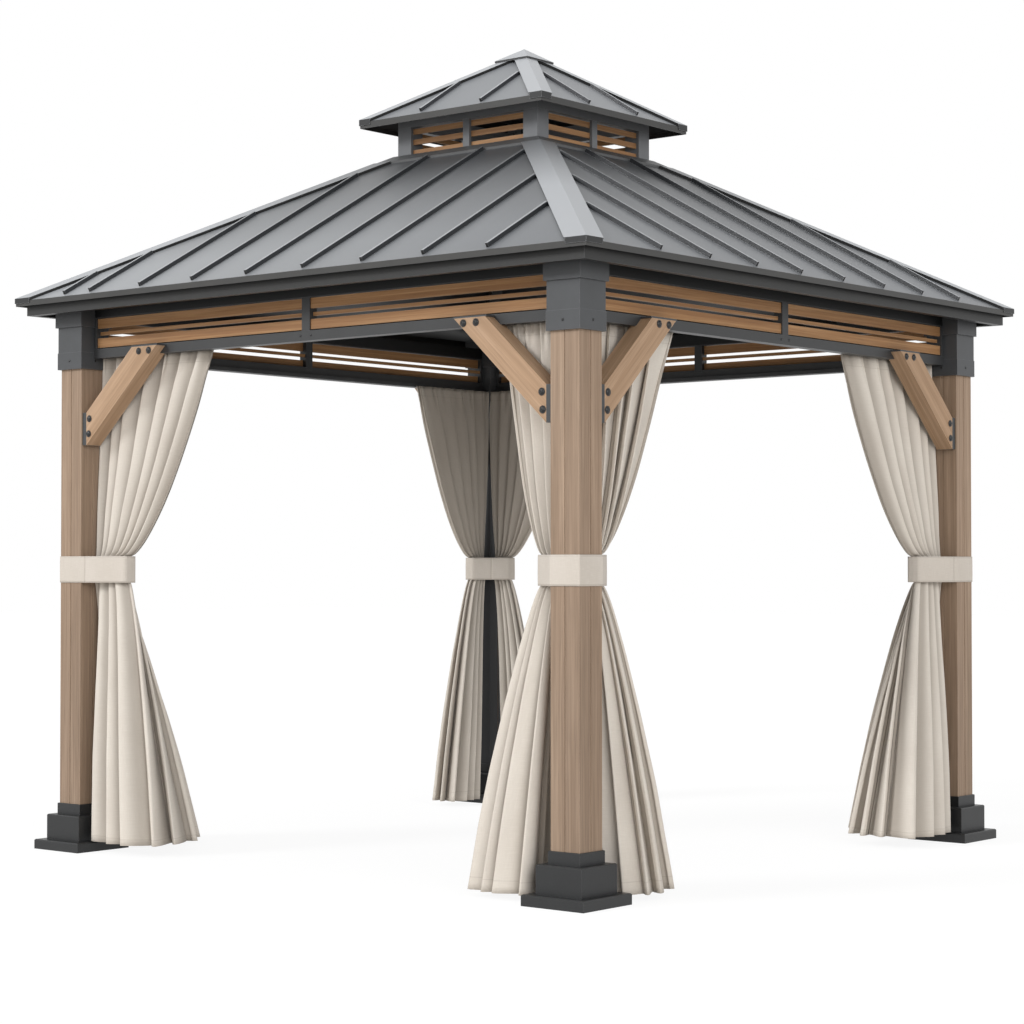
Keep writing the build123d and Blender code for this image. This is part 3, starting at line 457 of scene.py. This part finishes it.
def even_path(points, count, smooth):
    """The points of a run of straight lines, rounded off and evenly spaced."""
    lengths = running_lengths(points)

    def at(distance):
        for i in range(len(points) - 1):
            if distance <= lengths[i + 1] or i == len(points) - 2:
                share = (distance - lengths[i]) / max(lengths[i + 1] - lengths[i], 1e-9)
                return between(points[i], points[i + 1], share)

    fine = [at(lengths[-1] * i / PATH_STEPS) for i in range(PATH_STEPS + 1)]
    reach = int(PATH_STEPS * smooth / 2)
    rounded = []
    for i in range(PATH_STEPS + 1):
        span = min(reach, i, PATH_STEPS - i)
        window = fine[i - span:i + span + 1]
        rounded.append((sum(p[0] for p in window) / len(window), sum(p[1] for p in window) / len(window)))
    lengths = running_lengths(rounded)
    result, i = [], 0
    for j in range(count):
        distance = lengths[-1] * j / (count - 1)
        while i < PATH_STEPS - 1 and lengths[i + 1] < distance:
            i += 1
        share = (distance - lengths[i]) / max(lengths[i + 1] - lengths[i], 1e-9)
        result.append(between(rounded[i], rounded[i + 1], min(max(share, 0), 1)))
    return result


def c_path(near, far, outward, inward, inset, count, smooth=0.22):
    """A C round one level of a bundle, open towards the post: out, along, in and back."""
    low, high = -outward + inset, inward - inset
    left, right = near + inset, far - inset
    start = (left, min(low + 0.45 * (high - low), left - DIAGONAL_GAP - inset))
    back = (max(left, high + DIAGONAL_GAP + 1.4 * inset), high)
    if back[0] > right - inset:
        back = (right - inset, high)
    return even_path([start, (left, low), (right, low), (right, high), back], count, smooth)


def smoothstep(low, high, value):
    """A soft step from 0 at low to 1 at high."""
    share = min(max((value - low) / (high - low), 0), 1)
    return share * share * (3 - 2 * share)


def fold_plan(folds, columns, chance, even):
    """For each column: its turn within its fold, the fold's depth, lap and crown."""
    widths = [chance.uniform(1 - even, 1 + even) for _ in range(folds)]
    edges = [0.0]
    for width in widths:
        edges.append(edges[-1] + width / sum(widths))
    each = [(chance.uniform(0.72, 1.0), chance.uniform(0.6, 1.15), chance.uniform(0, 0.25))
            for _ in range(folds)]
    plan = []
    for i in range(columns):
        share = i / (columns - 1)
        j = min(sum(1 for edge in edges[1:-1] if edge < share), folds - 1)
        span = edges[j + 1] - edges[j]
        depth, lap, crown = each[j]
        plan.append((2 * pi * (share - edges[j]) / span, depth, lap * span, crown))
    return plan


def curtain_sheet(corner, across, seed, columns=264):
    """One gathered curtain as a grid: a row for each height, a column along its width. Its
    cloth runs in overlapping folds, each with its front edge over the end of the one before."""
    reach, bundle_width, hem_reach, hem_out, hem_in = CURTAINS[corner][across]
    hem_reach += WIDER_HEMS.get((corner, across), 0)
    high_folds, low_folds = FOLDS[corner][across]
    over_foot = (corner, across) in OVER_FOOT
    hem_near, hem_low = (107.5, 46) if over_foot else (144.5, 25)
    lead = 1 if (corner, across) in NEAR_OVER_FAR else -1
    dark = CREASE_SHADES.get((corner, across), PLAIN_CREASE_SHADE)
    chance = random.Random(seed)
    shares = [i / (columns - 1) for i in range(columns)]
    high_plan = fold_plan(high_folds, columns, chance, 0.42)
    low_plan = fold_plan(low_folds, columns, chance, 0.30)
    low_path = c_path(BUNDLE_NEAR, BUNDLE_NEAR + bundle_width, BUNDLE_OUT, BUNDLE_IN, 15, columns)
    hem_path = c_path(hem_near, hem_reach, hem_out, hem_in, 34, columns)
    high_path = [(BUNDLE_NEAR + 13 + (bundle_width - 26) * share, BUNDLE_T) for share in shares]
    header_path = [(HEADER_S + (reach - HEADER_S - 3) * share, HEADER_T) for share in shares]
    heights = [hem_low + (TIE_LOW - hem_low) * (1 - (1 - i / 48) ** 1.25) for i in range(49)]
    heights += [TIE_LOW + 28, TIE_LOW + 55, TIE_LOW + 82]
    heights += [TIE_HIGH + (TRACK_Z - TIE_HIGH) * (i / 52) ** 1.15 for i in range(53)]
    rows, crease_shades = [], []
    for z in heights:
        if z < TIE_HIGH:
            plan = low_plan if z < TIE_LOW + 50 else high_plan
            drop = max(0, (TIE_LOW - z) / (TIE_LOW - hem_low))
            hidden = min(max((z - TIE_LOW) / (TIE_HIGH - TIE_LOW), 0), 1)
            spread = drop ** 0.75
            start, finish, share_s, share_t = low_path, hem_path, spread, spread
            if hidden:
                finish, share_s, share_t = high_path, hidden, hidden
            amplitude = 10 + 21 * smoothstep(0, 0.8, drop) + 8 * hidden
            overlap, gather, tuck = 0.24 + 0.07 * drop, 0, 4 + 4 * drop
        else:
            plan = high_plan
            top = (z - TIE_HIGH) / (TRACK_Z - TIE_HIGH)
            start, finish = high_path, header_path
            share_s, share_t = top ** SWAG_BULGE, 1 - (1 - top) ** 1.6
            amplitude = 20 + 3 * smoothstep(0, 0.3, top) - 10 * smoothstep(0.72, 1, top)
            overlap = 0.24 + 0.14 * smoothstep(0, 0.25, top)
            gather = 5 * smoothstep(0.84, 0.985, top)
            tuck = 9 - 3 * smoothstep(0.7, 1, top)
        base = [(a[0] + (b[0] - a[0]) * share_s, a[1] + (b[1] - a[1]) * share_t)
                for a, b in zip(start, finish)]
        row, shades = [], []
        for i in range(columns):
            before, after = max(i - 4, 0), min(i + 4, columns - 1)
            a, b = base[before], base[after]
            length = max(hypot(b[0] - a[0], b[1] - a[1]), 1e-6)
            tx, ty = (b[0] - a[0]) / length, (b[1] - a[1]) / length
            whole = length / (after - before) * (columns - 1)
            turn, depth, lap, crown = plan[i]
            wander = 0.35 * noise.noise(Vector((shares[i] * 4, z / 600, seed * 3.7)))
            turn += wander * (1 - cos(turn)) / 2
            part = turn / (2 * pi) if lead == 1 else 1 - turn / (2 * pi)
            # painted crease shade: dark at both ends of each fold, where it goes under its neighbour
            shades.append(smoothstep(*dark, part) + 1 - smoothstep(0.08, 0.14, part))
            wave = sin(turn)
            push = amplitude * depth * (lead * wave + crown * (wave * wave - 0.4))
            slide = -1.25 * overlap * whole * lap * wave
            slide *= smoothstep(0, 0.05, shares[i]) * smoothstep(0, 0.06, 1 - shares[i])
            push += tuck * max(0, (cos(turn) - 0.35) / 0.65) * sin(7 * turn)
            if gather:
                push += gather * sin(2 * pi * shares[i] * FLAT_WIDTH / HEADER_PITCH + 2 * sin(shares[i] * 9))
            push += noise.noise(Vector((shares[i] * 7, z / 160, seed))) * 1.4
            row.append((base[i][0] + tx * slide + ty * push, base[i][1] + ty * slide - tx * push, z))
        rows.append(row)
        crease_shades.append(shades)
    return heights, rows, crease_shades


def made_plain(piece):
    """Turn what a piece's modifiers make into its plain mesh."""
    fixed = bpy.data.meshes.new_from_object(piece.evaluated_get(bpy.context.evaluated_depsgraph_get()))
    piece.modifiers.clear()
    piece.data = fixed
    fixed.name = piece.name
    return fixed


def grid_piece(name, rows, widths, heights, place, thickness, material, crease_shades=None):
    """A sheet of cloth from its grid at a place, its corner and whether it runs across,
    with a UV map in metres and a real thickness."""
    corner, across = place
    count = len(rows[0])
    vertices = [to_world(corner, across, *point) for row in rows for point in row]
    faces = []
    for r in range(len(rows) - 1):
        for c in range(count - 1):
            a = r * count + c
            face = (a, a + 1, a + 1 + count, a + count)
            faces.append(face[::-1] if across else face)
    mesh = bpy.data.meshes.new(name)
    mesh.from_pydata(vertices, [], faces)
    layer, shade = mesh.uv_layers.new(name="cloth"), mesh.uv_layers.new(name="crease")
    for loop in mesh.loops:
        r, c = divmod(loop.vertex_index, count)
        layer.data[loop.index].uv = (widths[c], heights[r] * MM)
        shade.data[loop.index].uv = (crease_shades[r][c] if crease_shades else 0, 0)
    for polygon in mesh.polygons:
        polygon.use_smooth = True
    mesh.materials.append(material)
    piece = bpy.data.objects.new(name, mesh)
    COLLECTION.objects.link(piece)
    solidify = piece.modifiers.new("cloth_thickness", "SOLIDIFY")
    solidify.thickness = thickness
    solidify.offset = 0
    made_plain(piece)
    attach(piece, "root")
    return piece


header_rows = []
for number, corner in enumerate(CURTAINS):
    for across in (False, True):
        heights, rows, crease_shades = curtain_sheet(corner, across, 11 + 7 * number + 3 * across)
        name = f"{corner}_curtain_{'b' if across else 'a'}"
        widths = [FLAT_WIDTH * c / (len(rows[0]) - 1) for c in range(len(rows[0]))]
        piece = grid_piece(name, rows, widths, heights, (corner, across), CLOTH_THICKNESS, cloth, crease_shades)
        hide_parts(f"{corner}_curtains")
        header_rows.append((corner, across, rows[-1]))


# Ties: a strip round the post and both bundles, its outer end lapped over its start
def hull(points):
    """The convex outline of some points, anticlockwise."""
    points = sorted(set(points))

    def half(sequence):
        chain = []
        for p in sequence:
            while len(chain) > 1 and ((chain[-1][0] - chain[-2][0]) * (p[1] - chain[-2][1])
                                      - (chain[-1][1] - chain[-2][1]) * (p[0] - chain[-2][0])) <= 0:
                chain.pop()
            chain.append(p)
        return chain[:-1]

    return half(points) + half(points[::-1])


# Where each strip's outer end lies, along and across from the post's centre, how far it
# laps over its start, how the bundles' ends are rounded, and its gap over what it holds
TIE_ENDS = {"front_left": (88, -58), "front_right": (110, 118), "back_right": (-58, 88),
            "back_left": (118, 118)}
TIE_LAP = 70
TIE_ROUND = 18
TIE_LIFT = 2.6
TIE_ROWS = 12


def band_path(corner):
    """The closed line of a tie just outside the post and bundles, in steps of 6 mm."""
    along, across = CURTAINS[corner]
    corners = [(x, y) for x in (-POST_HALF_MM, POST_HALF_MM) for y in (-POST_HALF_MM, POST_HALF_MM)]
    for width, turned in ((along[1], False), (across[1], True)):
        places = [(BUNDLE_NEAR, t) for t in (-BUNDLE_OUT + 3, BUNDLE_IN - 3)]
        far = BUNDLE_NEAR + width - 3 - TIE_ROUND
        stretch = (BUNDLE_OUT + BUNDLE_IN - 6) / 2 - TIE_ROUND
        for k in range(-4, 5):
            angle = radians(22.5 * k)
            side = 1 if k > 0 else -1 if k < 0 else 0
            places.append((far + TIE_ROUND * cos(angle), BUNDLE_T + TIE_ROUND * sin(angle) + stretch * side))
        corners += [(t, s) if turned else (s, t) for s, t in places]
    outline = hull(corners)
    path = []
    for i, point in enumerate(outline):
        before, after = outline[i - 1], outline[(i + 1) % len(outline)]
        first = atan2(point[1] - before[1], point[0] - before[0]) - pi / 2
        last = atan2(after[1] - point[1], after[0] - point[0]) - pi / 2
        while last < first:
            last += 2 * pi
        steps = max(2, int((last - first) / radians(12)) + 1)
        for k in range(steps + 1):
            angle = first + (last - first) * k / steps
            path.append((point[0] + TIE_LIFT * cos(angle), point[1] + TIE_LIFT * sin(angle)))
    path.append(path[0])
    dense = []
    for a, b in zip(path, path[1:]):
        steps = max(1, int(hypot(b[0] - a[0], b[1] - a[1]) / 6))
        dense += [between(a, b, k / steps) for k in range(steps)]
    return dense


for corner in CORNERS:
    loop = band_path(corner)
    target = TIE_ENDS[corner]
    first = min(range(len(loop)), key=lambda i: hypot(loop[i][0] - target[0], loop[i][1] - target[1]))
    loop = loop[first:] + loop[:first]
    backwards = corner == "back_right"
    if backwards:
        loop = [loop[0]] + loop[:0:-1]
    lengths = running_lengths(loop + loop[:1])
    whole = lengths[-1]
    strip, places = [], []
    for index in range(2 * len(loop)):
        turns, i = divmod(index, len(loop))
        distance = turns * whole + lengths[i]
        if distance > whole + TIE_LAP:
            break
        a, b = loop[i - 1], loop[(i + 1) % len(loop)]
        length = hypot(b[0] - a[0], b[1] - a[1])
        side = -1 if backwards else 1
        nx, ny = side * (b[1] - a[1]) / length, -side * (b[0] - a[0]) / length
        rise = 2.4 * (1 - smoothstep(TIE_LAP, TIE_LAP + 60, distance)) if turns == 0 else 0
        strip.append((loop[i][0] + nx * rise, loop[i][1] + ny * rise, nx, ny))
        places.append(distance)
    rows, heights = [], []
    for k in range(TIE_ROWS + 1):
        z = TIE_LOW + (TIE_HIGH - TIE_LOW) * k / TIE_ROWS
        row = []
        for (x, y, nx, ny), distance in zip(strip, places):
            push = 0.5 * sin(pi * k / TIE_ROWS) + 0.5 * noise.noise(Vector((distance / 70, k / 5, 3.3)))
            row.append((x + nx * push, y + ny * push, z))
        rows.append(row[::-1] if backwards else row)
        heights.append(z)
    # painted shadow: the strip darkens where it passes under its own raised outer end
    lap = [smoothstep(whole - 9, whole - 1, distance) for distance in places]
    lap = lap[::-1] if backwards else lap
    widths = [distance * MM for distance in places]
    piece = grid_piece(f"{corner}_tie", rows, widths, heights, (corner, False), TIE_THICKNESS, tie_cloth,
                       [lap] * len(rows))
    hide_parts("curtain_ties")


# Fasteners: each kind is one Geometry Nodes modifier on a mesh of points, made plain after
def fasteners(name, places, radius, height, sides=16, socket=True):
    """Round heads at places, each a point and the direction it faces, in metres."""
    mesh = bpy.data.meshes.new(name)
    mesh.from_pydata([place for place, _ in places], [], [])
    facing = mesh.attributes.new("facing", "FLOAT_VECTOR", "POINT")
    for i, (_, direction) in enumerate(places):
        facing.data[i].vector = direction
    piece = bpy.data.objects.new(name, mesh)
    COLLECTION.objects.link(piece)
    group = bpy.data.node_groups.new(name, "GeometryNodeTree")
    node = partial(add_node, group)
    for in_out in ("INPUT", "OUTPUT"):
        group.interface.new_socket("Geometry", in_out=in_out, socket_type="NodeSocketGeometry")
    settings = {}
    for label, kind, value in (("Head Radius", "NodeSocketFloat", radius),
                               ("Head Height", "NodeSocketFloat", height), ("Seed", "NodeSocketInt", 7)):
        item = group.interface.new_socket(label, in_out="INPUT", socket_type=kind)
        item.default_value = value
        settings[item.identifier] = value
    points, wide, tall, seed = list(node("NodeGroupInput").outputs)[:4]
    head = node("GeometryNodeMeshUVSphere", (sides, 8, wide))
    squash = node(JOIN, (1.0, 1.0, node(MATH, (tall, wide), operation="DIVIDE")))
    head = node("GeometryNodeTransform", {"Geometry": head, "Scale": squash})
    washer = node("GeometryNodeMeshCylinder", {
        "Vertices": sides, "Radius": node(MATH, (wide, 1.15), operation="MULTIPLY"),
        "Depth": node(MATH, (tall, 0.5), operation="MULTIPLY")})
    shapes = [head, washer]
    if socket:
        drive = node("GeometryNodeMeshCylinder", {
            "Vertices": 6, "Radius": node(MATH, (wide, 0.42), operation="MULTIPLY"),
            "Depth": node(MATH, (tall, 0.3), operation="MULTIPLY")})
        lift = node(JOIN, {"Z": node(MATH, (tall, 0.9), operation="MULTIPLY")})
        shapes.append(node("GeometryNodeTransform", {"Geometry": drive, "Translation": lift}))
    direction = node("GeometryNodeInputNamedAttribute", ("facing",), data_type="FLOAT_VECTOR")
    turned = node("FunctionNodeAlignRotationToVector", {"Vector": direction}, axis="Z")
    spin = node("FunctionNodeRandomValue", {2: 0.0, 3: 1.05, "Seed": seed}, data_type="FLOAT")
    rotation = node("FunctionNodeRotateRotation", (turned, node(JOIN, {"Z": spin})), rotation_space="LOCAL")
    heads = node("GeometryNodeInstanceOnPoints", {
        "Points": points, "Instance": node("GeometryNodeJoinGeometry", {0: shapes}), "Rotation": rotation})
    finished = node("GeometryNodeSetMaterial", {
        "Geometry": node("GeometryNodeRealizeInstances", (heads,)), "Material": bolt_steel})
    node("NodeGroupOutput", (finished,))
    modifier = piece.modifiers.new(name, "NODES")
    modifier.node_group = group
    for key, value in settings.items():
        modifier[key] = value
    fixed = made_plain(piece)
    bpy.data.node_groups.remove(group)
    for attribute in [a for a in fixed.attributes if a.name == "facing"]:
        fixed.attributes.remove(attribute)
    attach(piece, "root")


def facing_out(corner, across, s, t, z, direction):
    """A place on a corner's side and a direction along, inward and up, in world axes."""
    here = Vector(to_world(corner, across, s, t, z))
    there = Vector(to_world(corner, across, s + direction[0], t + direction[1], z + direction[2]))
    return here, (there - here).normalized()


# Each brace's bolts, along the side from the post's centre and up, the braces' two faces
# and the cap's, inward from that centre, and the cap screws' height, in millimetres
BRACE_BOLTS = ((414, 2064), (474, 2064), (108, 1799), (104, 1736))
BRACE_FACE, BRACE_BACK, CAP_FACE = 58, 18, 76
CAP_SCREW_Z = 2045
# Two screws beside the middle of each lower rail, and half that rail's height, in metres
RAIL_SCREWS = (-0.028, 0.028)
RAIL_MIDDLE = 0.0195
# The gliders of each curtain, and their rise over its top edge in millimetres
GLIDERS = 13
GLIDER_RISE = 3
OUT, IN, UP = (0, -1, 0), (0, 1, 0), (0, 0, 1)

bolts, screws, gliders = [], [], []
for corner in CORNERS:
    for across in (False, True):
        for s, z in BRACE_BOLTS:
            bolts.append(facing_out(corner, across, s, -BRACE_FACE, z, OUT))
            bolts.append(facing_out(corner, across, s, BRACE_BACK, z, IN))
        screws.append(facing_out(corner, across, 0, -CAP_FACE, CAP_SCREW_Z, OUT))
        screws.append(facing_out(corner, across, 0, CAP_FACE, CAP_SCREW_Z, IN))
rail_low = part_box("front_beam_frame")[0]
for number in range(len(SIDES)):
    turn = Matrix.Rotation(radians(90) * number, 3, "Z")
    for x in RAIL_SCREWS:
        screws.append((turn @ Vector((x, rail_low.y, rail_low.z + RAIL_MIDDLE)), turn @ Vector(OUT)))
for corner, across, header in header_rows:
    for k in range(GLIDERS):
        s = header[round(k * (len(header) - 1) / (GLIDERS - 1))][0]
        gliders.append(facing_out(corner, across, s, HEADER_T, TRACK_Z + GLIDER_RISE, UP))
fasteners("brace_bolts", bolts, 0.0125, 0.008)
fasteners("panel_screws", screws, 0.0055, 0.003, sides=12, socket=False)
fasteners("curtain_gliders", gliders, 0.0035, 0.004, sides=10, socket=False)


# Floor, light and camera
def seen_rays(tree):
    """1 for rays from the camera, a glossy surface or glass, and 0 for the light's own."""
    rays = add_node(tree, "ShaderNodeLightPath").outputs
    mirrored = add_node(tree, MATH, (rays["Is Glossy Ray"], rays["Is Transmission Ray"]), operation="MAXIMUM")
    return add_node(tree, MATH, (rays["Is Camera Ray"], mirrored), operation="MAXIMUM")


FLOOR_HALF = 40
floor_mesh = bpy.data.meshes.new("floor")
floor_corners = [(x * FLOOR_HALF, y * FLOOR_HALF, 0) for x, y in ((-1, -1), (1, -1), (1, 1), (-1, 1))]
floor_mesh.from_pydata(floor_corners, [], [(0, 1, 2, 3)])
floor_piece = bpy.data.objects.new("floor", floor_mesh)
COLLECTION.objects.link(floor_piece)
floor_material, tree, node = new_material("white_studio_floor")
matte = node("ShaderNodeBsdfDiffuse", {"Color": (0.14, 0.14, 0.14, 1)})
glow = node("ShaderNodeEmission", {"Color": (1, 1, 1, 1), "Strength": 0.90})
plain = node("ShaderNodeBsdfDiffuse", {"Color": (0.86, 0.83, 0.79, 1)})
chosen = node("ShaderNodeMixShader", (seen_rays(tree), plain, node("ShaderNodeAddShader", (matte, glow))))
node("ShaderNodeOutputMaterial", (chosen,))
floor_mesh.materials.append(floor_material)

world = bpy.data.worlds.new("studio")
bpy.context.scene.world = world
world.use_nodes = True
tree = world.node_tree
tree.nodes.clear()
level = add_node(tree, RANGE, {0: seen_rays(tree), 3: 0.54, 4: 1.0})
sky = add_node(tree, "ShaderNodeBackground", {"Color": (1, 1, 1, 1), "Strength": level})
add_node(tree, "ShaderNodeOutputWorld", (sky,))


def sun(name, strength, spread, toward):
    """A soft lamp that shines in one direction, with its spread in degrees."""
    lamp = bpy.data.lights.new(name, "SUN")
    lamp.energy = strength
    lamp.angle = radians(spread)
    piece = bpy.data.objects.new(name, lamp)
    piece.rotation_euler = Vector(toward).to_track_quat("-Z", "Y").to_euler()
    COLLECTION.objects.link(piece)


sun("key", 1.55, 18, (0.40, 0.80, -0.48))
sun("fill", 1.15, 40, (-0.80, 0.48, -0.28))

# Camera at the photograph's place, from the fit to the gazebo's own corners
camera_data = bpy.data.cameras.new("camera")
camera_data.sensor_width = 36
camera_data.lens = 83.73
camera_data.clip_end = 200
camera = bpy.data.objects.new("camera", camera_data)
camera.location = (6.482, -7.890, 1.189)
camera.rotation_euler = Euler((radians(91.273), 0, radians(39.70)))
COLLECTION.objects.link(camera)
bpy.context.scene.camera = camera
bpy.context.scene.view_settings.view_transform = "Standard"
